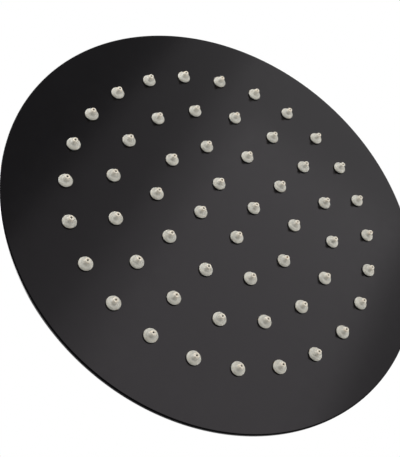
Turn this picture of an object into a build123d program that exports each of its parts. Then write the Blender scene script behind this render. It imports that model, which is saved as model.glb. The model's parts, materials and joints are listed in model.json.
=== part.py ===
from build123d import *
import math
import os

# Round rain shower head with a ball joint and a union nut, hanging level as it is used.
# Lengths are in millimetres and angles in degrees.
# +Z is up, and the origin is on the axis where the inlet's thread starts, just inside its mouth.

# Spray head, made of two pressed sheets that are welded together inside the rim
disc_radius = 100.0
rim_depth = 1.7
sheet_thickness = 0.5
bend_inside_radius = 0.1
weld_gap = 0.05
dome_rise = 6.0
land_radius = 26.0

# Nozzle pattern: rings an equal step apart, with one nozzle of every ring on the +X line
nozzle_counts = (4, 10, 16, 24)
first_ring_radius = 13.7
ring_step = 20.0

# Silicone nozzle, pushed in from outside until its flange seats on the face and its barb opens behind
nozzle_hole_radius = 2.25
nozzle_hole_fit = 0.05
nozzle_flange_radius = 3.05
nozzle_flange_thickness = 1.5
nozzle_flange_chamfer = 0.6
nozzle_seat_chamfer = 0.35
nozzle_flange_crown = 0.15
nozzle_nub_radius = 1.05
nozzle_nub_taper = 0.45
nozzle_height = 4.05
nozzle_orifice_radius = 0.45
nozzle_barb = 0.4
nozzle_barb_length = 0.95
nozzle_tail_wall = 0.4

# Ball joint
ball_radius = 11.0
ball_clearance = 0.05
tilt_limit = 15.0
tilt_clearance = 0.45
turning_clearance = 0.08
thread_fit = 0.05
thrust_ring_height = 5.8
seal_inner_radius = 7.4
seal_height = 4.6
seal_seat_rise = 1.4

# Hub boss, the turned socket on the middle of the back
hub_bore_radius = 12.2
hub_thread_radius = 16.0
hub_passage_radius = 7.6
hub_floor = 3.4
hub_rim_gap = 0.3
hub_flange_radius = 24.0
hub_flange_edge = 1.0
hub_flange_slope = 1.5
hub_spigot_radius = 9.5
hub_spigot_length = 1.0

# Lock nut over the ball
lock_radius = 19.0
lock_lip = 3.2
lock_skirt = 8.0
lock_across_flats = 35.0
lock_flats_height = 9.0
lock_chamfer = 1.2
lock_mouth_chamfer = 0.8

# Inlet stem, a flanged tube that is screwed into the ball
stem_radius = 7.0
stem_bore_radius = 4.2
stem_flange_radius = 9.2
stem_flange_thickness = 2.2
stem_spigot_radius = 5.6
stem_spigot_length = 7.0
stem_clearance = 0.25

# Inlet nut with a G 1/2 thread, drawn as a plain bore at the thread's major diameter
inlet_thread_radius = 10.48
inlet_thread_length = 10.7
inlet_relief_radius = 10.9
inlet_floor = 3.0
inlet_across_flats = 27.0
inlet_mouth_chamfer = 0.8
inlet_corner_angle = 30.0
inlet_room = 0.3

# Washer with its filter screen
washer_inner_radius = 5.0
washer_thickness = 2.0
screen_radius = 6.5
screen_thickness = 0.3
screen_fit = 0.02

# Flow regulator cartridge in the mouth of the stem
regulator_radius = 5.5
regulator_height = 3.4
regulator_fit = 0.1
regulator_wall = 0.8
regulator_base = 1.0
regulator_post_radius = 1.6
regulator_hole_radius = 0.8
regulator_hole_count = 8
regulator_ring_section = 0.75

# Heights, worked down from the inlet's mouth to the spray face
tilt = math.radians(tilt_limit)
inlet_mouth_z = inlet_mouth_chamfer
washer_top_z = -inlet_thread_length - inlet_room
stem_top_z = washer_top_z - washer_thickness
stem_flange_z = stem_top_z - stem_flange_thickness
inlet_bottom_z = stem_flange_z - inlet_floor
lock_top = thrust_ring_height + lock_lip
lock_reach = lock_top * math.cos(tilt) + lock_radius * math.sin(tilt)
ball_z = inlet_bottom_z - lock_reach - tilt_clearance
ball_flat_z = ball_z + math.sqrt(ball_radius**2 - stem_radius**2)
hub_seat_z = ball_z - ball_radius + seal_seat_rise
land_z = hub_seat_z - hub_floor
rim_z = land_z - dome_rise
face_z = rim_z - rim_depth
regulator_z = stem_top_z - regulator_height - regulator_fit

# Radii shared by pieces that fit each other
lock_bore_radius = hub_thread_radius + thread_fit
lock_opening_radius = stem_radius / math.cos(tilt) + lock_top * math.tan(tilt) + tilt_clearance


def turned(*section):
    """Solid of revolution about Z, from the corners of its half section as (radius, height)."""
    return revolve(Plane.XZ * make_face(Polyline(*section, close=True)), Axis.Z)


def drilled(radius, low_z, high_z):
    """Round cutter about Z from one height to another."""
    return Pos(0, 0, low_z) * Cylinder(radius, high_z - low_z, align=(Align.CENTER, Align.CENTER, Align.MIN))


def ball_space():
    """Sphere that leaves the running clearance round the ball."""
    return Pos(0, 0, ball_z) * Sphere(ball_radius + ball_clearance)


def ring_places(ring):
    """Places of one ring's nozzles on the outside of the face, counted from the centre ring."""
    spots = PolarLocations(first_ring_radius + ring * ring_step, nozzle_counts[ring])
    return [Pos(0, 0, face_z) * spot for spot in spots]


def pressed(radius, floor_z, bend_radius):
    """Disc from a floor up to the top of the rim, rounded where the floor turns up."""
    disc = drilled(radius, floor_z, rim_z)
    lower_edge = disc.edges().filter_by(GeomType.CIRCLE).sort_by(Axis.Z)[0]
    return fillet(lower_edge, bend_radius)


def face_plate():
    """Pressed pan: the drilled spray face and its turned-up rim."""
    outside = pressed(disc_radius, face_z, bend_inside_radius + sheet_thickness)
    inside = pressed(disc_radius - sheet_thickness, face_z + sheet_thickness, bend_inside_radius)
    hole = Cylinder(nozzle_hole_radius, 4 * sheet_thickness)
    holes = [place * hole for ring in range(len(nozzle_counts)) for place in ring_places(ring)]
    return outside - inside - holes


def back_plate():
    """Pressed cover: a flat land under the hub that falls away in one arc to the rim."""
    hole_radius = hub_spigot_radius + weld_gap
    edge_radius = disc_radius - sheet_thickness - weld_gap
    with BuildSketch(Plane.XZ) as section:
        with BuildLine():
            land = Line((hole_radius, land_z), (land_radius, land_z))
            dome = TangentArc(land @ 1, (edge_radius, rim_z), tangent=(1, 0))
            edge = Line(dome @ 1, (edge_radius, rim_z - sheet_thickness))
            inside = TangentArc((land_radius, land_z - sheet_thickness), edge @ 1, tangent=(1, 0))
            inner_land = Line(inside @ 0, (hole_radius, land_z - sheet_thickness))
            Line(inner_land @ 1, land @ 0)
        make_face()
    return revolve(section.sketch, Axis.Z)


def nozzle():
    """One hollow nozzle pointing down, with its flange's seat at the origin.

    The crowned flange and the nub stand outside the face, and the neck and the barb inside it.
    """
    neck_radius = nozzle_hole_radius - nozzle_hole_fit
    barb_z = sheet_thickness + nozzle_hole_fit
    tail_z = barb_z + nozzle_barb_length
    tail_radius = neck_radius - nozzle_barb
    return turned(
        (nozzle_orifice_radius, -nozzle_height),
        (nozzle_nub_radius, -nozzle_height),
        (nozzle_nub_radius + nozzle_nub_taper, -nozzle_flange_thickness - nozzle_flange_crown),
        (nozzle_flange_radius - nozzle_flange_chamfer, -nozzle_flange_thickness),
        (nozzle_flange_radius, nozzle_flange_chamfer - nozzle_flange_thickness),
        (nozzle_flange_radius, -nozzle_seat_chamfer),
        (nozzle_flange_radius - nozzle_seat_chamfer, 0),
        (neck_radius, 0),
        (neck_radius, barb_z),
        (nozzle_hole_radius + nozzle_barb, barb_z),
        (tail_radius, tail_z),
        (tail_radius - nozzle_tail_wall, tail_z),
        (nozzle_orifice_radius, -nozzle_flange_thickness),
    )


def nozzle_ring(ring):
    """One ring of separate nozzles."""
    one = nozzle()
    return Compound([place * one.solid() for place in ring_places(ring)])


def hub_boss():
    """Turned socket: a spigot in the back plate, a sloping weld flange and the ball's cup."""
    flange_z = land_z + hub_flange_edge
    return turned(
        (hub_passage_radius, land_z - hub_spigot_length),
        (hub_spigot_radius, land_z - hub_spigot_length),
        (hub_spigot_radius, land_z),
        (hub_flange_radius, land_z),
        (hub_flange_radius, flange_z),
        (hub_thread_radius, flange_z + hub_flange_slope),
        (hub_thread_radius, ball_z - hub_rim_gap),
        (hub_bore_radius, ball_z - hub_rim_gap),
        (hub_bore_radius, hub_seat_z),
        (hub_passage_radius, hub_seat_z),
    )


def ball_seal():
    """Rubber ring in the bottom of the cup, hollowed to the ball."""
    outer_radius = hub_bore_radius - turning_clearance
    ring = drilled(outer_radius, hub_seat_z, hub_seat_z + seal_height)
    ring -= drilled(seal_inner_radius, hub_seat_z, hub_seat_z + seal_height)
    return ring - ball_space()


def thrust_ring():
    """Plastic ring from the ball's widest line up to the lock nut's lip, hollowed to the ball."""
    ring = drilled(lock_bore_radius - turning_clearance, ball_z, ball_z + thrust_ring_height)
    ring -= drilled(stem_radius, ball_z, ball_z + thrust_ring_height)
    return ring - ball_space()


def lock_nut():
    """Collar screwed over the hub, with a lip that clears the stem at full tilt and two flats."""
    top_z = ball_z + lock_top
    lip_z = ball_z + thrust_ring_height
    skirt_z = ball_z - lock_skirt
    nut = turned(
        (lock_bore_radius, skirt_z),
        (lock_radius, skirt_z),
        (lock_radius, top_z - lock_chamfer),
        (lock_radius - lock_chamfer, top_z),
        (lock_opening_radius + lock_mouth_chamfer, top_z),
        (lock_opening_radius, top_z - lock_mouth_chamfer),
        (lock_opening_radius, lip_z),
        (lock_bore_radius, lip_z),
    )
    flats = Box(lock_across_flats, 2 * lock_radius, lock_flats_height)
    cutter = Cylinder(2 * lock_radius, lock_flats_height) - flats
    return nut - Pos(0, 0, skirt_z + lock_flats_height / 2) * cutter


def swivel_ball():
    """Drilled ball with a flat on top, where the stem's shoulder seats."""
    ball = Pos(0, 0, ball_z) * Sphere(ball_radius)
    ball -= drilled(ball_radius, ball_flat_z, ball_z + ball_radius)
    ball -= drilled(stem_bore_radius, ball_z - ball_radius, ball_z + ball_radius)
    return ball - drilled(stem_spigot_radius + thread_fit, ball_flat_z - stem_spigot_length, ball_flat_z)


def inlet_stem():
    """Flanged tube from the washer down into the ball, with the regulator's seat in its mouth."""
    seat_radius = regulator_radius + regulator_fit
    return turned(
        (stem_bore_radius, ball_flat_z - stem_spigot_length),
        (stem_spigot_radius, ball_flat_z - stem_spigot_length),
        (stem_spigot_radius, ball_flat_z),
        (stem_radius, ball_flat_z),
        (stem_radius, stem_flange_z),
        (stem_flange_radius, stem_flange_z),
        (stem_flange_radius, stem_top_z),
        (seat_radius, stem_top_z),
        (seat_radius, regulator_z),
        (stem_bore_radius, regulator_z),
    )


def inlet_nut():
    """Hexagon union nut that hangs the stem by its flange."""
    hexagon = RegularPolygon(inlet_across_flats / 2, 6, major_radius=False)
    corner_radius = inlet_across_flats / 2 / math.cos(math.pi / 6)
    corner_drop = (corner_radius - inlet_across_flats / 2) * math.tan(math.radians(inlet_corner_angle))
    blank = turned(
        (0, inlet_bottom_z),
        (inlet_across_flats / 2, inlet_bottom_z),
        (corner_radius, inlet_bottom_z + corner_drop),
        (corner_radius, inlet_mouth_z - corner_drop),
        (inlet_across_flats / 2, inlet_mouth_z),
        (0, inlet_mouth_z),
    )
    nut = blank & Pos(0, 0, inlet_bottom_z) * extrude(hexagon, inlet_mouth_z - inlet_bottom_z)
    bore = turned(
        (0, inlet_bottom_z),
        (stem_radius + stem_clearance, inlet_bottom_z),
        (stem_radius + stem_clearance, stem_flange_z),
        (inlet_relief_radius, stem_flange_z),
        (inlet_relief_radius, -inlet_thread_length),
        (inlet_thread_radius, -inlet_thread_length),
        (inlet_thread_radius, 0),
        (inlet_thread_radius + inlet_mouth_chamfer, inlet_mouth_z),
        (0, inlet_mouth_z),
    )
    return nut - bore


def inlet_washer():
    """Rubber washer on the stem's flange, grooved inside for the screen."""
    middle_z = stem_top_z + washer_thickness / 2
    groove_radius = screen_radius + screen_fit
    groove_half = screen_thickness / 2 + screen_fit
    return turned(
        (washer_inner_radius, stem_top_z),
        (stem_flange_radius, stem_top_z),
        (stem_flange_radius, washer_top_z),
        (washer_inner_radius, washer_top_z),
        (washer_inner_radius, middle_z + groove_half),
        (groove_radius, middle_z + groove_half),
        (groove_radius, middle_z - groove_half),
        (washer_inner_radius, middle_z - groove_half),
    )


def inlet_screen():
    """Filter disc held in the washer's groove."""
    middle_z = stem_top_z + washer_thickness / 2
    return drilled(screen_radius, middle_z - screen_thickness / 2, middle_z + screen_thickness / 2)


def flow_regulator():
    """Cartridge: a perforated base, an outer wall and a centre post for the rubber ring."""
    base_z = regulator_z + regulator_base
    top_z = regulator_z + regulator_height
    inner_radius = regulator_radius - regulator_wall
    body = turned(
        (0, regulator_z),
        (regulator_radius, regulator_z),
        (regulator_radius, top_z),
        (inner_radius, top_z),
        (inner_radius, base_z),
        (regulator_post_radius, base_z),
        (regulator_post_radius, top_z),
        (0, top_z),
    )
    hole = Pos(0, 0, regulator_z) * Cylinder(regulator_hole_radius, 4 * regulator_base)
    middle_radius = (inner_radius + regulator_post_radius) / 2
    return body - [spot * hole for spot in PolarLocations(middle_radius, regulator_hole_count)]


def regulator_ring():
    """Rubber ring round the cartridge's post, lying on its base."""
    middle_radius = (regulator_radius - regulator_wall + regulator_post_radius) / 2
    ring_z = regulator_z + regulator_base + regulator_ring_section
    return Pos(0, 0, ring_z) * Torus(middle_radius, regulator_ring_section)


pieces = {
    "face_plate": face_plate(),
    "back_plate": back_plate(),
    "hub_boss": hub_boss(),
    "ball_seal": ball_seal(),
    "thrust_ring": thrust_ring(),
    "lock_nut": lock_nut(),
    "swivel_ball": swivel_ball(),
    "inlet_stem": inlet_stem(),
    "inlet_nut": inlet_nut(),
    "inlet_washer": inlet_washer(),
    "inlet_screen": inlet_screen(),
    "flow_regulator": flow_regulator(),
    "regulator_ring": regulator_ring(),
}
for ring in range(len(nozzle_counts)):
    pieces[f"nozzle_ring_{ring + 1}"] = nozzle_ring(ring)

os.makedirs("parts", exist_ok=True)
for name, piece in pieces.items():
    export_step(piece, f"parts/{name}.step")
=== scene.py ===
"""Looks of a round rain shower head: coated plates, silicone nozzles, ball joint and threaded inlet."""

import json
import math

import bmesh
import bpy
from bpy.props import FloatProperty, FloatVectorProperty, IntProperty, PointerProperty
from mathutils import Matrix, Vector


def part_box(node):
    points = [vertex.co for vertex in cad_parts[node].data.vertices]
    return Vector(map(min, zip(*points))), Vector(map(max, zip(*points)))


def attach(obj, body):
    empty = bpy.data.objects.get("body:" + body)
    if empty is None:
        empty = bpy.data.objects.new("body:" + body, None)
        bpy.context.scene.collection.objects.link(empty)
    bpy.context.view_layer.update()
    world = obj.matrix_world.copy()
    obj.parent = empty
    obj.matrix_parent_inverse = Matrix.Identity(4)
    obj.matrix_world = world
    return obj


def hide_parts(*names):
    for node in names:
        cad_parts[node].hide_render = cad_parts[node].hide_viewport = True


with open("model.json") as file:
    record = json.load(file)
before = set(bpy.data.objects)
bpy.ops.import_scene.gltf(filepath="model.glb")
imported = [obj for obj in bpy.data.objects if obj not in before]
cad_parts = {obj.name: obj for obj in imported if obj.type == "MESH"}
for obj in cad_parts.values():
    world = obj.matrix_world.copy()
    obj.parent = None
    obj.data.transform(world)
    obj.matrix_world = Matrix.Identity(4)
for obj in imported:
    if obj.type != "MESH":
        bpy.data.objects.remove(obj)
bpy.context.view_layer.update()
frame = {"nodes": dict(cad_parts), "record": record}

bl_info = {
    "name": "Rain Shower Head",
    "version": (1, 0, 0),
    "blender": (4, 5, 0),
    "location": "View3D > Sidebar > Shower Head",
    "description": "Dresses a rain shower head and sets a plain studio around it",
    "category": "Object",
}

MM = 0.001
WELD = 0.001 * MM
HOLE_SIDES = 24
FLAT_ANGLE = math.radians(0.5)
EDGE_ANGLE = math.radians(20)

# Heights and radii that the frame gives
FACE_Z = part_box("face_plate")[0].z
DISC_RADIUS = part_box("face_plate")[1].x
RIM_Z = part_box("face_plate")[1].z
TIP_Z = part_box("nozzle_ring_1")[0].z
TAIL_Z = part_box("nozzle_ring_1")[1].z
RING_NODES = sorted(name for name in frame["nodes"] if name.startswith("nozzle_ring_"))
SCREEN_LOW, SCREEN_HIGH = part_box("inlet_screen")
INLET_THREAD = next(m for m in frame["record"]["mounts"] if m["name"] == "inlet_thread")

# Layers that grade the softbox which the spray face mirrors: place, size and watts
FACE_SOFTBOX = (
    ((0.23, 0.434, -0.6), (0.78, 0.59), 1.06),
    ((0.239, 0.426, -0.59), (0.78, 0.355), 0.62),
    ((0.131, 0.336, -0.58), (0.54, 0.29), 0.4),
)
# Square softboxes turned to the head: name, place, width, watts, and whether they leave glints
SOFTBOXES = (
    ("left_softbox", (0.45, -0.27, -0.16), 0.3, 3.6, False),
    ("right_softbox", (-0.6, 0.67, -0.2), 0.5, 7.4, False),
    ("spray_fill", (-0.1, -0.75, -0.3), 0.5, 2.2, False),
    ("back_softbox", (0.67, -0.49, 1.0), 0.8, 9.0, True),
)
# Strengths of the surround, which is darker on the side that the near rim mirrors
DARK_SIDE = (-0.878, -0.479, 0)
SKY_GLOW = 0.55
HORIZON_GLOW = 0.45
GROUND_GLOW = 0.35
ZENITH_GLOW = 1.04
LEAST_GLOW = 0.04


def linear(hex_colour):
    """Linear RGBA of an sRGB hex colour."""
    channels = [int(hex_colour[i:i + 2], 16) / 255 for i in (1, 3, 5)]
    return [c / 12.92 if c <= 0.04045 else ((c + 0.055) / 1.055) ** 2.4 for c in channels] + [1.0]


def add_node(tree, kind, inputs=None, **settings):
    """Adds one node with its settings, and fills or links its inputs by socket name or number."""
    node = tree.nodes.new(kind)
    for name, value in settings.items():
        setattr(node, name, value)
    for key, value in (inputs or {}).items():
        if isinstance(value, bpy.types.NodeSocket):
            tree.links.new(value, node.inputs[key])
        else:
            node.inputs[key].default_value = value
    return node


def length_prop(name, description, default):
    """Property for a length in metres."""
    return FloatProperty(name=name, description=description, default=default, min=0, precision=5,
                         subtype="DISTANCE", unit="LENGTH")


def colour_prop(name, description, hex_colour):
    """Property for a colour, given in sRGB."""
    return FloatVectorProperty(name=name, description=description, default=linear(hex_colour), size=4,
                               min=0, max=1, subtype="COLOR")


class PanSizes(bpy.types.PropertyGroup):
    """Form of the pressed pan that is the spray face and its rim."""

    sheet: length_prop("Sheet", "Thickness of the sheet", 0.5 * MM)
    bend_radius: length_prop("Bend radius", "Outside of the bend from the face to the rim", 0.6 * MM)
    edge_rounding: length_prop("Edge rounding", "Broken edges of the rim", 0.1 * MM)
    hole_radius: length_prop("Hole radius", "Holes that the nozzles are pushed into", 2.25 * MM)
    sides: IntProperty(name="Sides", description="Sides of the round rim", default=288, min=24)


class NozzleSizes(bpy.types.PropertyGroup):
    """Form of one silicone nozzle."""

    flange_radius: length_prop("Flange radius", "Outside of the round flange", 3.05 * MM)
    flange_thickness: length_prop("Flange thickness", "Height of the flange at its edge", 1.5 * MM)
    flange_chamfer: length_prop("Flange chamfer", "Outer edge, before it is rounded", 0.6 * MM)
    flange_crown: length_prop("Flange crown", "Rise of the flange from its edge to the nub", 0.15 * MM)
    flange_rounding: length_prop("Flange rounding", "Outer edge of the flange", 0.7 * MM)
    seat_rounding: length_prop("Seat rounding", "Edge that turns under to the face", 0.6 * MM)
    nub_radius: length_prop("Nub radius", "Outside of the nub at its tip", 1.05 * MM)
    nub_taper: length_prop("Nub taper", "How much wider the nub is at its foot", 0.45 * MM)
    nub_fillet: length_prop("Nub fillet", "Hollow curve from the flange into the nub", 0.5 * MM)
    tip_rounding: length_prop("Tip rounding", "Outer edge of the nub's tip", 0.15 * MM)
    orifice_rounding: length_prop("Orifice rounding", "Edge of the hole in the tip", 0.08 * MM)
    orifice_radius: length_prop("Orifice radius", "Hole in the tip", 0.45 * MM)
    neck_radius: length_prop("Neck radius", "Part that fills the hole in the face", 2.2 * MM)
    barb_radius: length_prop("Barb radius", "Part that opens behind the face", 2.65 * MM)
    barb_height: length_prop("Barb height", "From the face's outside to the barb", 0.55 * MM)
    tail_radius: length_prop("Tail radius", "End of the barb", 1.8 * MM)
    tail_wall: length_prop("Tail wall", "Wall at the end of the barb", 0.4 * MM)
    turns: IntProperty(name="Sides", description="Sides of the turned form", default=36, min=12)


class InletSizes(bpy.types.PropertyGroup):
    """Thread of the inlet nut and wire cloth of its filter."""

    pitch: length_prop("Thread pitch", "Fourteen turns to the inch", 25.4 * MM / 14)
    thread_depth: length_prop("Thread depth", "From the root to the crest", 1.16 * MM)
    wire_pitch: length_prop("Wire pitch", "Distance between the screen's wires", 0.5 * MM)
    wire_diameter: length_prop("Wire diameter", "Thickness of the screen's wires", 0.15 * MM)


class FinishColours(bpy.types.PropertyGroup):
    """Colours of the finishes."""

    coating: colour_prop("Coating", "Matte black coating", "#050506")
    coating_gloss: colour_prop("Coating gloss", "Tint of what the coating mirrors", "#FFF7FD")
    silicone: colour_prop("Silicone", "Nozzle flanges", "#A5A39B")
    # Lighter and warmer than the flange: a painted glow of light through the thin nub
    silicone_tip_glow: colour_prop("Silicone tip", "Nozzle nubs, a little warmer", "#BBB5A9")
    chrome: colour_prop("Chrome", "Plated ball and stem", "#C6C7C8")
    rubber: colour_prop("Rubber", "Seal, washer and ring", "#1A1A1B")
    acetal: colour_prop("Acetal", "Thrust ring and regulator", "#E8E6DE")
    wire: colour_prop("Wire", "Stainless screen", "#B4B1AA")
    brass: colour_prop("Brass", "Cut thread", "#C7A366")
    floor: colour_prop("Floor", "Studio floor", "#EFEEEB")


class StudioSettings(bpy.types.PropertyGroup):
    """Camera and floor."""

    azimuth: FloatProperty(name="Azimuth", description="Camera's side, from -Y towards +X",
                           default=math.radians(-39.16), subtype="ANGLE", unit="ROTATION")
    elevation: FloatProperty(name="Elevation", description="Camera's height, negative from below",
                             default=math.radians(-53.06), subtype="ANGLE", unit="ROTATION")
    roll: FloatProperty(name="Roll", description="Turn of the camera about its own line of sight",
                        default=math.radians(-140.36), subtype="ANGLE", unit="ROTATION")
    distance: length_prop("Distance", "From the camera to the point it looks at", 0.3268)
    aim: FloatVectorProperty(name="Aim", description="Point of the spray face that the camera looks at",
                             default=(-0.0077, -0.0163, FACE_Z), size=3, subtype="XYZ", unit="LENGTH")
    lens: FloatProperty(name="Lens", description="Focal length on a 36 mm sensor, in millimetres",
                        default=59.27, min=1)
    floor_drop: length_prop("Floor drop", "From the spray face down to the floor", 1.2)
    floor_radius: length_prop("Floor radius", "Reach of the floor round the head", 6.0)


def material_tree(name):
    """New material, its tree, the object coordinates and its shader."""
    material = bpy.data.materials.new(name)
    material.use_nodes = True
    tree = material.node_tree
    tree.nodes.clear()
    place = add_node(tree, "ShaderNodeTexCoord").outputs["Object"]
    shader = add_node(tree, "ShaderNodeBsdfPrincipled")
    add_node(tree, "ShaderNodeOutputMaterial", {"Surface": shader.outputs["BSDF"]})
    return material, tree, place, shader


def speckle(tree, place, size, low, high, detail=2.0):
    """Number that wanders between two values over spots of a real size, and the bare noise."""
    # Most of the noise lies between 0.3 and 0.7
    noise = add_node(tree, "ShaderNodeTexNoise", {"Vector": place, "Scale": 1 / size, "Detail": detail})
    spread = add_node(tree, "ShaderNodeMapRange", {
        "Value": noise.outputs["Fac"], "From Min": 0.3, "From Max": 0.7, "To Min": low, "To Max": high})
    return spread.outputs["Result"], noise.outputs["Fac"]


def shaded(colour, share):
    """The same colour, darker or lighter by a share."""
    return [min(1.0, c * share) for c in colour[:3]] + [1.0]


def finish_surface(tree, place, shader, colour, spot, rough, grain, relief, clouds=0.12):
    """Clouded colour and roughness with a fine grain, which every finish here has in its own measure."""
    cloud, _ = speckle(tree, place, spot, 0.0, 1.0)
    mix = add_node(tree, "ShaderNodeMix", data_type="RGBA", inputs={0: cloud})
    mix.inputs[6].default_value = shaded(colour, 1 - clouds)
    mix.inputs[7].default_value = shaded(colour, 1 + clouds)
    gloss, _ = speckle(tree, place, spot / 3, *rough)
    _, bumps = speckle(tree, place, grain, 0.0, 1.0, detail=3.0)
    bump = add_node(tree, "ShaderNodeBump", {"Height": bumps, "Strength": 0.3, "Distance": relief})
    tree.links.new(mix.outputs[2], shader.inputs["Base Color"])
    tree.links.new(gloss, shader.inputs["Roughness"])
    tree.links.new(bump.outputs["Normal"], shader.inputs["Normal"])
    return mix


def matte_black_coating(colours):
    """Baked matte coating on metal: near black, an even satin gloss and a very fine orange peel."""
    material, tree, place, shader = material_tree("matte_black_coating")
    finish_surface(tree, place, shader, colours.coating, spot=14 * MM, rough=(0.14, 0.17),
                   grain=0.4 * MM, relief=0.003 * MM)
    shader.inputs["IOR"].default_value = 1.5
    shader.inputs["Specular IOR Level"].default_value = 0.2
    shader.inputs["Specular Tint"].default_value = colours.coating_gloss
    return material


def pale_silicone(colours):
    """Moulded silicone: waxy, a little light inside it, and lighter and yellower towards the thin nub, where
    a glow of light through it is painted.
    """
    material, tree, place, shader = material_tree("pale_silicone")
    mix = finish_surface(tree, place, shader, colours.silicone, spot=3 * MM, rough=(0.42, 0.52),
                         grain=0.25 * MM, relief=0.01 * MM)
    height = add_node(tree, "ShaderNodeSeparateXYZ", {"Vector": place}).outputs["Z"]
    # Painted glow: the colour turns lighter and warmer with height towards the tip, standing in for light
    # through the thin nub
    reach = add_node(tree, "ShaderNodeMapRange", {
        "Value": height, "From Min": FACE_Z - 2 * MM, "From Max": TIP_Z, "To Min": 0.0, "To Max": 1.0})
    tip_glow = add_node(tree, "ShaderNodeMix", data_type="RGBA", inputs={0: reach.outputs["Result"]})
    tree.links.new(mix.outputs[2], tip_glow.inputs[6])
    tip_glow.inputs[7].default_value = colours.silicone_tip_glow
    tree.links.new(tip_glow.outputs[2], shader.inputs["Base Color"])
    shader.inputs["IOR"].default_value = 1.41
    shader.inputs["Subsurface Weight"].default_value = 0.5
    shader.inputs["Subsurface Radius"].default_value = (1.0, 0.9, 0.8)
    shader.inputs["Subsurface Scale"].default_value = 1.0 * MM
    return material


def chrome_plate(colours):
    """Polished chrome on turned brass: mirror bright, with the faintest haze."""
    material, tree, place, shader = material_tree("chrome_plate")
    finish_surface(tree, place, shader, colours.chrome, spot=6 * MM, rough=(0.06, 0.12),
                   grain=0.3 * MM, relief=0.001 * MM)
    shader.inputs["Metallic"].default_value = 1.0
    return material


def moulded_rubber(colours):
    """Black moulded rubber: dull, dark grey where light grazes it."""
    material, tree, place, shader = material_tree("moulded_rubber")
    finish_surface(tree, place, shader, colours.rubber, spot=4 * MM, rough=(0.55, 0.7),
                   grain=0.2 * MM, relief=0.02 * MM)
    return material


def white_acetal(colours):
    """Moulded acetal: milky white with a soft gloss."""
    material, tree, place, shader = material_tree("white_acetal")
    finish_surface(tree, place, shader, colours.acetal, spot=5 * MM, rough=(0.3, 0.4),
                   grain=0.3 * MM, relief=0.005 * MM)
    shader.inputs["IOR"].default_value = 1.48
    return material


def stainless_wire(colours):
    """Drawn stainless wire: grey, bright along its length."""
    material, tree, place, shader = material_tree("stainless_wire")
    finish_surface(tree, place, shader, colours.wire, spot=1 * MM, rough=(0.22, 0.34),
                   grain=0.1 * MM, relief=0.002 * MM)
    shader.inputs["Metallic"].default_value = 1.0
    return material


def cut_brass(colours):
    """Freshly cut brass: yellow metal with a fine tool mark."""
    material, tree, place, shader = material_tree("cut_brass")
    finish_surface(tree, place, shader, colours.brass, spot=3 * MM, rough=(0.2, 0.32),
                   grain=0.15 * MM, relief=0.004 * MM)
    shader.inputs["Metallic"].default_value = 1.0
    return material


def painted_floor(colours):
    """Pale painted floor: matte, with slight clouds in its tone."""
    material, tree, place, shader = material_tree("painted_floor")
    finish_surface(tree, place, shader, colours.floor, spot=0.4, rough=(0.6, 0.7),
                   grain=4 * MM, relief=0.1 * MM, clouds=0.02)
    return material


MAKERS = (matte_black_coating, pale_silicone, chrome_plate, moulded_rubber, white_acetal, stainless_wire,
          cut_brass, painted_floor)


def finish(name):
    """Material of that name, made the first time that it is asked for."""
    made = bpy.data.materials.get(name)
    if made is not None:
        return made
    maker = next(m for m in MAKERS if m.__name__ == name)
    return maker(bpy.context.scene.shower_colours)


def wear(node_name, material_name):
    """Gives a CAD node its finish."""
    node = frame["nodes"][node_name]
    for slot in node.material_slots:
        slot.material = finish(material_name)


def settle(piece, body, slot, *replaced):
    """Puts a finished piece on its body and hides the nodes that it stands for; its slot is not used."""
    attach(piece, body)
    if replaced:
        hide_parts(*replaced)


def ring_spots(node):
    """Seats of one ring's nozzles, counted by the gaps between its vertices round the centre."""
    flange_radius = bpy.context.scene.shower_nozzles.flange_radius
    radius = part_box(node)[1].x - flange_radius
    angles = sorted(math.atan2(v.co.y, v.co.x) for v in frame["nodes"][node].data.vertices)
    gaps = [(a - b) % (2 * math.pi) for a, b in zip(angles, angles[-1:] + angles[:-1])]
    count = sum(gap > flange_radius / radius for gap in gaps)
    return [Vector((radius, 0, 0)) @ Matrix.Rotation(2 * math.pi * i / count, 3, "Z") for i in range(count)]


def face_outwards(mesh):
    """Turns the faces of a closed mesh outwards, and keeps its flat faces from being shaded as round."""
    shape = bmesh.new()
    shape.from_mesh(mesh)
    bmesh.ops.recalc_face_normals(shape, faces=shape.faces)
    for face in shape.faces:
        face.smooth = abs(face.normal.z) < 0.999
    shape.to_mesh(mesh)
    shape.free()


def rounded_outline(corners, step=math.radians(24)):
    """Closed outline through (radius, height, rounding) corners, with an arc at each rounded one."""
    outline = []
    for i, (x, z, rounding) in enumerate(corners):
        corner = Vector((x, z))
        before = (Vector(corners[i - 1][:2]) - corner).normalized()
        after = (Vector(corners[(i + 1) % len(corners)][:2]) - corner).normalized()
        turn = math.pi - before.angle(after)
        if rounding == 0 or turn < step / 4:
            outline.append(corner)
            continue
        reach = rounding * math.tan(turn / 2)
        centre = corner + (before + after).normalized() * rounding / math.cos(turn / 2)
        start = corner + before * reach - centre
        end = corner + after * reach - centre
        steps = max(1, math.ceil(turn / step))
        sweep = start.angle_signed(end)
        for k in range(steps + 1):
            outline.append(centre + Matrix.Rotation(-sweep * k / steps, 2) @ start)
    return outline


def turned_mesh(name, outline, turns, closed=True):
    """Mesh of an outline of (radius, height) points turned about Z."""
    shape = bmesh.new()
    rows = []
    for i in range(turns):
        angle = 2 * math.pi * i / turns
        rows.append([shape.verts.new((r * math.cos(angle), r * math.sin(angle), z)) for r, z in outline])
    for i, row in enumerate(rows):
        other = rows[(i + 1) % turns]
        for j in range(len(outline) if closed else len(outline) - 1):
            k = (j + 1) % len(outline)
            shape.faces.new((row[j], other[j], other[k], row[k]))
    bmesh.ops.remove_doubles(shape, verts=shape.verts, dist=WELD)
    bmesh.ops.recalc_face_normals(shape, faces=shape.faces)
    for face in shape.faces:
        face.smooth = True
    mesh = bpy.data.meshes.new(name)
    shape.to_mesh(mesh)
    shape.free()
    return mesh


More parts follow.
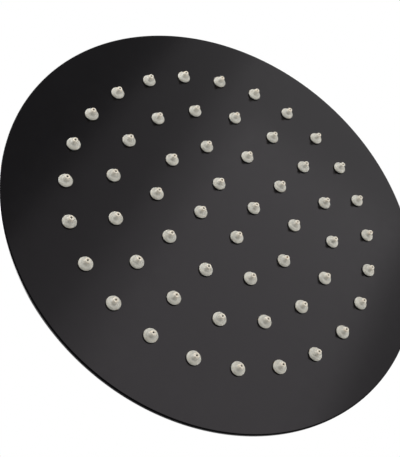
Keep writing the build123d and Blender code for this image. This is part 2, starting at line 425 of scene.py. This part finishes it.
def node_group(name, *inputs):
    """Geometry tree with named inputs, and the sockets that give them."""
    tree = bpy.data.node_groups.new(name, "GeometryNodeTree")
    for label, kind in inputs:
        tree.interface.new_socket(label, in_out="INPUT", socket_type=kind)
    tree.interface.new_socket("Geometry", in_out="OUTPUT", socket_type="NodeSocketGeometry")
    given = add_node(tree, "NodeGroupInput").outputs
    return tree, given


def close_group(tree, geometry, material):
    """Ends a tree: real geometry, smooth faces and the material."""
    real = add_node(tree, "GeometryNodeRealizeInstances", {"Geometry": geometry}).outputs[0]
    smooth = add_node(tree, "GeometryNodeSetShadeSmooth", {"Geometry": real}).outputs[0]
    dressed = add_node(tree, "GeometryNodeSetMaterial", {"Geometry": smooth, "Material": material}).outputs[0]
    add_node(tree, "NodeGroupOutput", {"Geometry": dressed})


def grown_piece(name, tree, **values):
    """Object whose plain mesh is what a tree makes of the given inputs."""
    piece = bpy.data.objects.new(name, bpy.data.meshes.new(name))
    modifier = piece.modifiers.new(name, "NODES")
    modifier.node_group = tree
    for socket in tree.interface.items_tree:
        if socket.in_out == "INPUT":
            modifier[socket.identifier] = values[socket.name]
    bpy.context.scene.collection.objects.link(piece)
    evaluated = piece.evaluated_get(bpy.context.evaluated_depsgraph_get())
    mesh = bpy.data.meshes.new_from_object(evaluated)
    piece.modifiers.remove(modifier)
    piece.data = mesh
    if not mesh.polygons:
        raise RuntimeError(f"{name} came out empty")
    return piece


def pan_tree():
    """Tree that fills a turned rim with two sheets, drilled through at every seat."""
    tree, given = node_group(
        "spray_pan", ("Rim", "NodeSocketObject"), ("Seats", "NodeSocketObject"), ("Flat", "NodeSocketFloat"),
        ("Hole", "NodeSocketFloat"), ("Sheet", "NodeSocketFloat"), ("Height", "NodeSocketFloat"),
        ("Sides", "NodeSocketInt"), ("Material", "NodeSocketMaterial"))
    seats = add_node(tree, "GeometryNodeObjectInfo", {"Object": given["Seats"]}).outputs["Geometry"]
    rim = add_node(tree, "GeometryNodeObjectInfo", {"Object": given["Rim"]}).outputs["Geometry"]
    edge = add_node(tree, "GeometryNodeCurvePrimitiveCircle", {
        "Resolution": given["Sides"], "Radius": given["Flat"]}).outputs[0]
    hole = add_node(tree, "GeometryNodeCurvePrimitiveCircle", {
        "Resolution": HOLE_SIDES, "Radius": given["Hole"]}).outputs[0]
    holes = add_node(tree, "GeometryNodeInstanceOnPoints", {"Points": seats, "Instance": hole}).outputs[0]
    outlines = add_node(tree, "GeometryNodeJoinGeometry")
    for outline in (edge, add_node(tree, "GeometryNodeRealizeInstances", {"Geometry": holes}).outputs[0]):
        tree.links.new(outline, outlines.inputs[0])
    flat = add_node(tree, "GeometryNodeFillCurve", {"Curve": outlines.outputs[0]},
                    mode="TRIANGLES").outputs[0]
    wall = add_node(tree, "GeometryNodeMeshCylinder", {
        "Vertices": HOLE_SIDES, "Radius": given["Hole"], "Depth": given["Sheet"]},
        fill_type="NONE").outputs[0]
    walls = add_node(tree, "GeometryNodeInstanceOnPoints", {"Points": seats, "Instance": wall}).outputs[0]
    half = add_node(tree, "ShaderNodeMath", {0: given["Sheet"], 1: 2.0}, operation="DIVIDE").outputs[0]
    whole = add_node(tree, "GeometryNodeJoinGeometry")
    tree.links.new(rim, whole.inputs[0])
    for part, lift in ((flat, 0.0), (walls, half), (flat, given["Sheet"])):
        height = add_node(tree, "ShaderNodeMath", {0: given["Height"], 1: lift}, operation="ADD").outputs[0]
        up = add_node(tree, "ShaderNodeCombineXYZ", {"Z": height}).outputs[0]
        raised = add_node(tree, "GeometryNodeTransform", {"Geometry": part, "Translation": up}).outputs[0]
        tree.links.new(raised, whole.inputs[0])
    real = add_node(tree, "GeometryNodeRealizeInstances", {"Geometry": whole.outputs[0]}).outputs[0]
    closed = add_node(tree, "GeometryNodeMergeByDistance", {"Geometry": real, "Distance": 2 * WELD})
    close_group(tree, closed.outputs[0], given["Material"])
    return tree


def ring_tree():
    """Tree that stands copies of a nozzle on a circle, the first on +X."""
    tree, given = node_group(
        "nozzle_ring", ("Nozzle", "NodeSocketObject"), ("Radius", "NodeSocketFloat"),
        ("Count", "NodeSocketInt"), ("Height", "NodeSocketFloat"), ("Material", "NodeSocketMaterial"))
    circle = add_node(tree, "GeometryNodeMeshCircle", {"Vertices": given["Count"], "Radius": given["Radius"]})
    lift = add_node(tree, "ShaderNodeCombineXYZ", {"Z": given["Height"]}).outputs[0]
    seats = add_node(tree, "GeometryNodeSetPosition", {"Geometry": circle.outputs[0], "Offset": lift})
    master = add_node(tree, "GeometryNodeObjectInfo", {"Object": given["Nozzle"]}).outputs["Geometry"]
    copies = add_node(tree, "GeometryNodeInstanceOnPoints", {"Points": seats.outputs[0], "Instance": master})
    close_group(tree, copies.outputs[0], given["Material"])
    return tree


def thread_tree():
    """Tree that sweeps a thread's ridge along a helix and fades it out at both ends."""
    tree, given = node_group(
        "inlet_thread", ("Radius", "NodeSocketFloat"), ("Depth", "NodeSocketFloat"),
        ("Length", "NodeSocketFloat"), ("Pitch", "NodeSocketFloat"), ("Material", "NodeSocketMaterial"))
    turns = add_node(tree, "ShaderNodeMath", {0: given["Length"], 1: given["Pitch"]}, operation="DIVIDE")
    helix = add_node(tree, "GeometryNodeCurveSpiral", {
        "Resolution": 64, "Rotations": turns.outputs[0], "Start Radius": given["Radius"],
        "End Radius": given["Radius"], "Height": given["Length"]})
    upright = add_node(tree, "GeometryNodeSetCurveNormal", {"Curve": helix.outputs[0]}, mode="Z_UP")
    share = add_node(tree, "GeometryNodeSplineParameter").outputs["Factor"]
    run_out = 0.06
    least = 0.02
    fade_in = add_node(tree, "ShaderNodeMapRange", {
        "Value": share, "From Min": 0.0, "From Max": run_out, "To Min": least, "To Max": 1.0})
    fade_out = add_node(tree, "ShaderNodeMapRange", {
        "Value": share, "From Min": 1 - run_out, "From Max": 1.0, "To Min": 1.0, "To Max": least})
    scale = add_node(tree, "ShaderNodeMath", {0: fade_in.outputs[0], 1: fade_out.outputs[0]},
                     operation="MINIMUM")
    ridge = add_node(tree, "GeometryNodeCurvePrimitiveCircle", {"Resolution": 6, "Radius": given["Depth"]})
    swept = add_node(tree, "GeometryNodeCurveToMesh", {
        "Curve": upright.outputs[0], "Profile Curve": ridge.outputs[0], "Scale": scale.outputs[0],
        "Fill Caps": True})
    drop = add_node(tree, "ShaderNodeMath", {0: given["Length"], 1: -1.0}, operation="MULTIPLY").outputs[0]
    down = add_node(tree, "ShaderNodeCombineXYZ", {"Z": drop}).outputs[0]
    placed = add_node(tree, "GeometryNodeTransform", {"Geometry": swept.outputs[0], "Translation": down})
    close_group(tree, placed.outputs[0], given["Material"])
    return tree


def cloth_tree():
    """Tree that weaves round wires over and under each other inside a circle."""
    tree, given = node_group(
        "wire_cloth", ("Radius", "NodeSocketFloat"), ("Pitch", "NodeSocketFloat"),
        ("Diameter", "NodeSocketFloat"), ("Height", "NodeSocketFloat"), ("Material", "NodeSocketMaterial"))

    def number(operation, first, second=0.0):
        return add_node(tree, "ShaderNodeMath", {0: first, 1: second}, operation=operation).outputs[0]

    half_count = number("FLOOR", number("DIVIDE", given["Radius"], given["Pitch"]))
    count = number("ADD", number("MULTIPLY", half_count, 2.0), 1.0)
    start = add_node(tree, "ShaderNodeCombineXYZ", {
        "Y": number("MULTIPLY", number("MULTIPLY", half_count, given["Pitch"]), -1.0)}).outputs[0]
    stride = add_node(tree, "ShaderNodeCombineXYZ", {"Y": given["Pitch"]}).outputs[0]
    row = add_node(tree, "GeometryNodeMeshLine", {
        "Count": count, "Start Location": start, "Offset": stride}, mode="OFFSET").outputs[0]
    position = add_node(tree, "GeometryNodeInputPosition").outputs[0]
    place = add_node(tree, "ShaderNodeSeparateXYZ", {"Vector": position})
    chord = number("SQRT", number("SUBTRACT", number("POWER", given["Radius"], 2.0),
                                  number("POWER", place.outputs["Y"], 2.0)))
    stretch = add_node(tree, "ShaderNodeCombineXYZ", {"X": chord, "Y": 1.0, "Z": 1.0}).outputs[0]
    line = add_node(tree, "GeometryNodeCurvePrimitiveLine", {"Start": (-1, 0, 0), "End": (1, 0, 0)})
    wires = add_node(tree, "GeometryNodeInstanceOnPoints", {
        "Points": row, "Instance": line.outputs[0], "Scale": stretch})
    real = add_node(tree, "GeometryNodeRealizeInstances", {"Geometry": wires.outputs[0]}).outputs[0]
    fine = add_node(tree, "GeometryNodeResampleCurve", {
        "Curve": real, "Length": number("DIVIDE", given["Pitch"], 4.0)}, mode="LENGTH").outputs[0]
    turned = add_node(tree, "GeometryNodeTransform", {
        "Geometry": fine, "Rotation": (0, 0, math.pi / 2)}).outputs[0]
    reach = number("ADD", place.outputs["X"], place.outputs["Y"])
    phase = number("DIVIDE", number("MULTIPLY", reach, math.pi), given["Pitch"])
    swing = number("MULTIPLY", number("COSINE", phase), number("DIVIDE", given["Diameter"], 2.0))
    woven = []
    for strands, way in ((fine, 1.0), (turned, -1.0)):
        lift = number("ADD", number("MULTIPLY", swing, way), given["Height"])
        offset = add_node(tree, "ShaderNodeCombineXYZ", {"Z": lift}).outputs[0]
        lifted = add_node(tree, "GeometryNodeSetPosition", {"Geometry": strands, "Offset": offset})
        woven.append(lifted.outputs[0])
    both = add_node(tree, "GeometryNodeJoinGeometry")
    for strands in woven:
        tree.links.new(strands, both.inputs[0])
    section = add_node(tree, "GeometryNodeCurvePrimitiveCircle", {
        "Resolution": 6, "Radius": number("DIVIDE", given["Diameter"], 2.0)}).outputs[0]
    tubes = add_node(tree, "GeometryNodeCurveToMesh", {
        "Curve": both.outputs[0], "Profile Curve": section, "Fill Caps": True}).outputs[0]
    close_group(tree, tubes, given["Material"])
    return tree


def eased_copy(node_name, piece_name, width, material_name):
    """Copy of a CAD node with its sharp edges broken by a small round, as a polished and coated piece has."""
    shape = bmesh.new()
    shape.from_mesh(frame["nodes"][node_name].data)
    bmesh.ops.remove_doubles(shape, verts=shape.verts, dist=WELD)
    bmesh.ops.dissolve_limit(shape, angle_limit=FLAT_ANGLE, verts=shape.verts, edges=shape.edges)
    sharp = [e for e in shape.edges if len(e.link_faces) == 2 and e.calc_face_angle() > EDGE_ANGLE]
    bmesh.ops.bevel(shape, geom=sharp, offset=width, segments=3, profile=0.5, affect="EDGES",
                    clamp_overlap=True)
    for face in shape.faces:
        face.smooth = True
    mesh = bpy.data.meshes.new(piece_name)
    shape.to_mesh(mesh)
    shape.free()
    mesh.materials.append(finish(material_name))
    piece = bpy.data.objects.new(piece_name, mesh)
    bpy.context.scene.collection.objects.link(piece)
    weighted = piece.modifiers.new("even_normals", "WEIGHTED_NORMAL")
    weighted.keep_sharp = True
    evaluated = piece.evaluated_get(bpy.context.evaluated_depsgraph_get())
    even = bpy.data.meshes.new_from_object(evaluated)
    piece.modifiers.remove(weighted)
    piece.data = even
    return piece


class SHOWER_OT_plates(bpy.types.Operator):
    """Press and drill the spray face with its rim, and coat the domed back"""

    bl_idname = "shower.plates"
    bl_label = "Coated Plates"

    def execute(self, context):
        sizes = context.scene.shower_pan
        flat = DISC_RADIUS - sizes.bend_radius
        inside = DISC_RADIUS - sizes.sheet
        floor_z = FACE_Z + sizes.sheet
        outline = rounded_outline((
            (flat, FACE_Z, 0),
            (DISC_RADIUS, FACE_Z, sizes.bend_radius),
            (DISC_RADIUS, RIM_Z, sizes.edge_rounding),
            (inside, RIM_Z, sizes.edge_rounding),
            (inside, floor_z, sizes.bend_radius - sizes.sheet),
            (flat, floor_z, 0),
        ), step=math.radians(10))
        rim = bpy.data.objects.new("pan_rim", turned_mesh("pan_rim", outline, sizes.sides, closed=False))
        spots = [spot for node in RING_NODES for spot in ring_spots(node)]
        marks = bpy.data.meshes.new("pan_seats")
        marks.from_pydata(spots, [], [])
        seats = bpy.data.objects.new("pan_seats", marks)
        pan = grown_piece("spray_pan", pan_tree(), Rim=rim, Seats=seats, Flat=flat, Hole=sizes.hole_radius,
                          Sheet=sizes.sheet, Height=FACE_Z, Sides=sizes.sides,
                          Material=finish("matte_black_coating"))
        face_outwards(pan.data)
        settle(pan, "head", "black_steel", "face_plate")
        bpy.data.objects.remove(rim)
        bpy.data.objects.remove(seats)
        wear("back_plate", "matte_black_coating")
        return {"FINISHED"}


class SHOWER_OT_nozzles(bpy.types.Operator):
    """Set the rings of silicone nozzles in the spray face"""

    bl_idname = "shower.nozzles"
    bl_label = "Silicone Nozzles"

    def execute(self, context):
        sizes = context.scene.shower_nozzles
        material = finish("pale_silicone")
        tip = TIP_Z - FACE_Z
        tail = TAIL_Z - FACE_Z
        crown = sizes.flange_thickness + sizes.flange_crown
        edge = sizes.flange_thickness - sizes.flange_chamfer
        outline = rounded_outline((
            (sizes.orifice_radius, tip, sizes.orifice_rounding),
            (sizes.nub_radius, tip, sizes.tip_rounding),
            (sizes.nub_radius + sizes.nub_taper, -crown, sizes.nub_fillet),
            (sizes.flange_radius - sizes.flange_chamfer, -sizes.flange_thickness, sizes.flange_rounding),
            (sizes.flange_radius, -edge, sizes.flange_rounding),
            (sizes.flange_radius, 0, sizes.seat_rounding),
            (sizes.neck_radius, 0, 0),
            (sizes.neck_radius, sizes.barb_height, 0),
            (sizes.barb_radius, sizes.barb_height, 0),
            (sizes.tail_radius, tail, 0),
            (sizes.tail_radius - sizes.tail_wall, tail, 0),
            (sizes.orifice_radius, -sizes.flange_thickness, 0),
        ))
        master = bpy.data.objects.new("nozzle_master", turned_mesh("nozzle_master", outline, sizes.turns))
        tree = ring_tree()
        for node in RING_NODES:
            spots = ring_spots(node)
            piece = grown_piece(node.replace("ring", "row"), tree, Nozzle=master, Radius=spots[0].x,
                                Count=len(spots), Height=FACE_Z, Material=material)
            settle(piece, "head", "silicone", node)
        bpy.data.objects.remove(master)
        return {"FINISHED"}


class SHOWER_OT_fittings(bpy.types.Operator):
    """Break the edges of the coated hub, lock nut and inlet nut"""

    bl_idname = "shower.fittings"
    bl_label = "Turned Fittings"

    def execute(self, context):
        pieces = (
            ("hub_boss", "hub_socket", "head", 0.3 * MM),
            ("lock_nut", "lock_collar", "head", 0.3 * MM),
            ("inlet_nut", "union_nut", "inlet", 0.25 * MM),
        )
        for node, name, body, width in pieces:
            settle(eased_copy(node, name, width, "matte_black_coating"), body, "black_brass", node)
        return {"FINISHED"}


class SHOWER_OT_ball_joint(bpy.types.Operator):
    """Finish the ball, its stem, the thrust ring and the seal"""

    bl_idname = "shower.ball_joint"
    bl_label = "Ball Joint"

    def execute(self, context):
        wear("swivel_ball", "chrome_plate")
        wear("thrust_ring", "white_acetal")
        wear("ball_seal", "moulded_rubber")
        settle(eased_copy("inlet_stem", "flanged_stem", 0.2 * MM, "chrome_plate"), "stem", "plated_brass",
               "inlet_stem")
        return {"FINISHED"}


class SHOWER_OT_inlet(bpy.types.Operator):
    """Cut the inlet's thread, weave its screen and finish the washer and the regulator"""

    bl_idname = "shower.inlet"
    bl_label = "Threaded Inlet"

    def execute(self, context):
        sizes = context.scene.shower_inlet
        thread = grown_piece("inlet_thread_ridge", thread_tree(), Radius=INLET_THREAD["dims"]["r_mm"] * MM,
                             Depth=sizes.thread_depth, Length=INLET_THREAD["dims"]["length_mm"] * MM,
                             Pitch=sizes.pitch, Material=finish("cut_brass"))
        settle(thread, "inlet", "black_brass")
        screen = grown_piece("wire_screen", cloth_tree(), Radius=SCREEN_HIGH.x, Pitch=sizes.wire_pitch,
                             Diameter=sizes.wire_diameter, Height=(SCREEN_LOW.z + SCREEN_HIGH.z) / 2,
                             Material=finish("stainless_wire"))
        settle(screen, "stem", "steel_mesh", "inlet_screen")
        wear("inlet_washer", "moulded_rubber")
        wear("regulator_ring", "moulded_rubber")
        wear("flow_regulator", "white_acetal")
        return {"FINISHED"}


def soft_light(name, place, target, size, watts, along=(0, 0, 1), glints=True):
    """Oblong area light at a place, turned to a target, with its width along a direction.

    Without glints it lights the nozzles, but no glossy surface mirrors it.
    """
    lamp = bpy.data.lights.new(name, "AREA")
    lamp.shape = "RECTANGLE"
    lamp.size, lamp.size_y = size
    lamp.energy = watts
    light = bpy.data.objects.new(name, lamp)
    back = (Vector(place) - Vector(target)).normalized()
    side = Vector(along).cross(back).normalized()
    width = back.cross(side)
    turn = Matrix((width, side * -1, back)).transposed()
    light.matrix_world = Matrix.Translation(place) @ turn.to_4x4()
    light.visible_camera = False
    light.visible_glossy = glints
    bpy.context.scene.collection.objects.link(light)


class SHOWER_OT_studio(bpy.types.Operator):
    """Lay the floor, set the lights and place the camera"""

    bl_idname = "shower.studio"
    bl_label = "Studio"

    def execute(self, context):
        studio = context.scene.shower_studio
        self.lay_floor(studio)
        self.set_lights()
        self.set_surround(context.scene)
        self.place_camera(context.scene, studio)
        context.scene.view_settings.view_transform = "Standard"
        return {"FINISHED"}

    def lay_floor(self, studio):
        """Round pale floor far below the head."""
        shape = bmesh.new()
        bmesh.ops.create_circle(shape, cap_ends=True, segments=96, radius=studio.floor_radius,
                                matrix=Matrix.Translation((0, 0, FACE_Z - studio.floor_drop)))
        mesh = bpy.data.meshes.new("floor")
        shape.to_mesh(mesh)
        shape.free()
        mesh.materials.append(finish("painted_floor"))
        floor = bpy.data.objects.new("floor", mesh)
        # The coating mirrors the surround in place of the floor, which keeps its black clean
        floor.visible_glossy = False
        bpy.context.scene.collection.objects.link(floor)

    def set_lights(self):
        """Graded softbox that the spray face mirrors, three lights for the nozzles and one for the back."""
        for place, size, watts in FACE_SOFTBOX:
            soft_light("face_softbox", place, (*place[:2], 0), size, watts, along=(1, 1, 0))
        for name, place, width, watts, glints in SOFTBOXES:
            soft_light(name, place, (0, 0, FACE_Z), (width, width), watts, glints=glints)

    def set_surround(self, scene):
        """White behind the object, and a dimmer glow that lights it and shows in its gloss."""
        world = bpy.data.worlds.new("studio")
        world.use_nodes = True
        tree = world.node_tree
        tree.nodes.clear()

        def number(operation, first, second):
            return add_node(tree, "ShaderNodeMath", {0: first, 1: second}, operation=operation).outputs[0]

        def fade(value, low, high, start, end):
            return add_node(tree, "ShaderNodeMapRange", {
                "Value": value, "From Min": low, "From Max": high, "To Min": start, "To Max": end}).outputs[0]

        seen = add_node(tree, "ShaderNodeLightPath").outputs["Is Camera Ray"]
        way = add_node(tree, "ShaderNodeTexCoord").outputs["Generated"]
        height = add_node(tree, "ShaderNodeSeparateXYZ", {"Vector": way}).outputs["Z"]
        facing = add_node(tree, "ShaderNodeVectorMath", {0: way, 1: DARK_SIDE},
                          operation="DOT_PRODUCT").outputs["Value"]
        bright_side = fade(facing, 0.25, 0.4, SKY_GLOW, 0.0)
        low_sky = fade(height, 0.55, 0.68, HORIZON_GLOW, 0.0)
        above = fade(height, -0.02, 0.02, 0.0, 1.0)
        sky = number("MULTIPLY", number("MAXIMUM", bright_side, low_sky), above)
        below = fade(height, -0.02, 0.02, 1.0, 0.0)
        ground = number("MULTIPLY", fade(facing, -0.25, -0.05, GROUND_GLOW, 0.0), below)
        zenith = fade(height, 0.88, 0.95, LEAST_GLOW, ZENITH_GLOW)
        glow = number("ADD", number("ADD", sky, ground), zenith)
        dim = add_node(tree, "ShaderNodeBackground", {"Color": linear("#FFFFFF"), "Strength": glow})
        white = add_node(tree, "ShaderNodeBackground", {"Color": linear("#FFFFFF"), "Strength": 1.0})
        both = add_node(tree, "ShaderNodeMixShader", {0: seen, 1: dim.outputs[0], 2: white.outputs[0]})
        add_node(tree, "ShaderNodeOutputWorld", {"Surface": both.outputs[0]})
        scene.world = world

    def place_camera(self, scene, studio):
        """Camera below the head, looking up at the spray face and rolled as it was held."""
        lens = bpy.data.cameras.new("camera")
        lens.lens = studio.lens
        lens.clip_start = 0.01
        camera = bpy.data.objects.new("camera", lens)
        turn = (Matrix.Rotation(studio.azimuth, 4, "Z")
                @ Matrix.Rotation(math.pi / 2 - studio.elevation, 4, "X")
                @ Matrix.Rotation(studio.roll, 4, "Z"))
        camera.matrix_world = (Matrix.Translation(studio.aim) @ turn
                               @ Matrix.Translation((0, 0, studio.distance)))
        scene.collection.objects.link(camera)
        scene.camera = camera


class SHOWER_PT_panel(bpy.types.Panel):
    """Sizes, colours and steps of the shower head"""

    bl_idname = "SHOWER_PT_panel"
    bl_label = "Shower Head"
    bl_space_type = "VIEW_3D"
    bl_region_type = "UI"
    bl_category = "Shower Head"

    def draw(self, context):
        for name in SETTINGS:
            group = getattr(context.scene, name)
            box = self.layout.box()
            for prop in group.__annotations__:
                box.prop(group, prop)
        for step in STEPS:
            self.layout.operator(step.bl_idname)


SETTINGS = {
    "shower_pan": PanSizes,
    "shower_nozzles": NozzleSizes,
    "shower_inlet": InletSizes,
    "shower_colours": FinishColours,
    "shower_studio": StudioSettings,
}
STEPS = (SHOWER_OT_plates, SHOWER_OT_nozzles, SHOWER_OT_fittings, SHOWER_OT_ball_joint, SHOWER_OT_inlet,
         SHOWER_OT_studio)


def register():
    """Registers the settings, the steps and the panel."""
    for name, group in SETTINGS.items():
        bpy.utils.register_class(group)
        setattr(bpy.types.Scene, name, PointerProperty(type=group))
    for item in (*STEPS, SHOWER_PT_panel):
        bpy.utils.register_class(item)


def unregister():
    """Takes the panel, the steps and the settings out again."""
    for item in (SHOWER_PT_panel, *reversed(STEPS)):
        bpy.utils.unregister_class(item)
    for name, group in reversed(SETTINGS.items()):
        delattr(bpy.types.Scene, name)
        bpy.utils.unregister_class(group)


def main():
    """Runs every step."""
    register()
    bpy.ops.shower.plates()
    bpy.ops.shower.nozzles()
    bpy.ops.shower.fittings()
    bpy.ops.shower.ball_joint()
    bpy.ops.shower.inlet()
    bpy.ops.shower.studio()


if __name__ == "__main__":
    main()
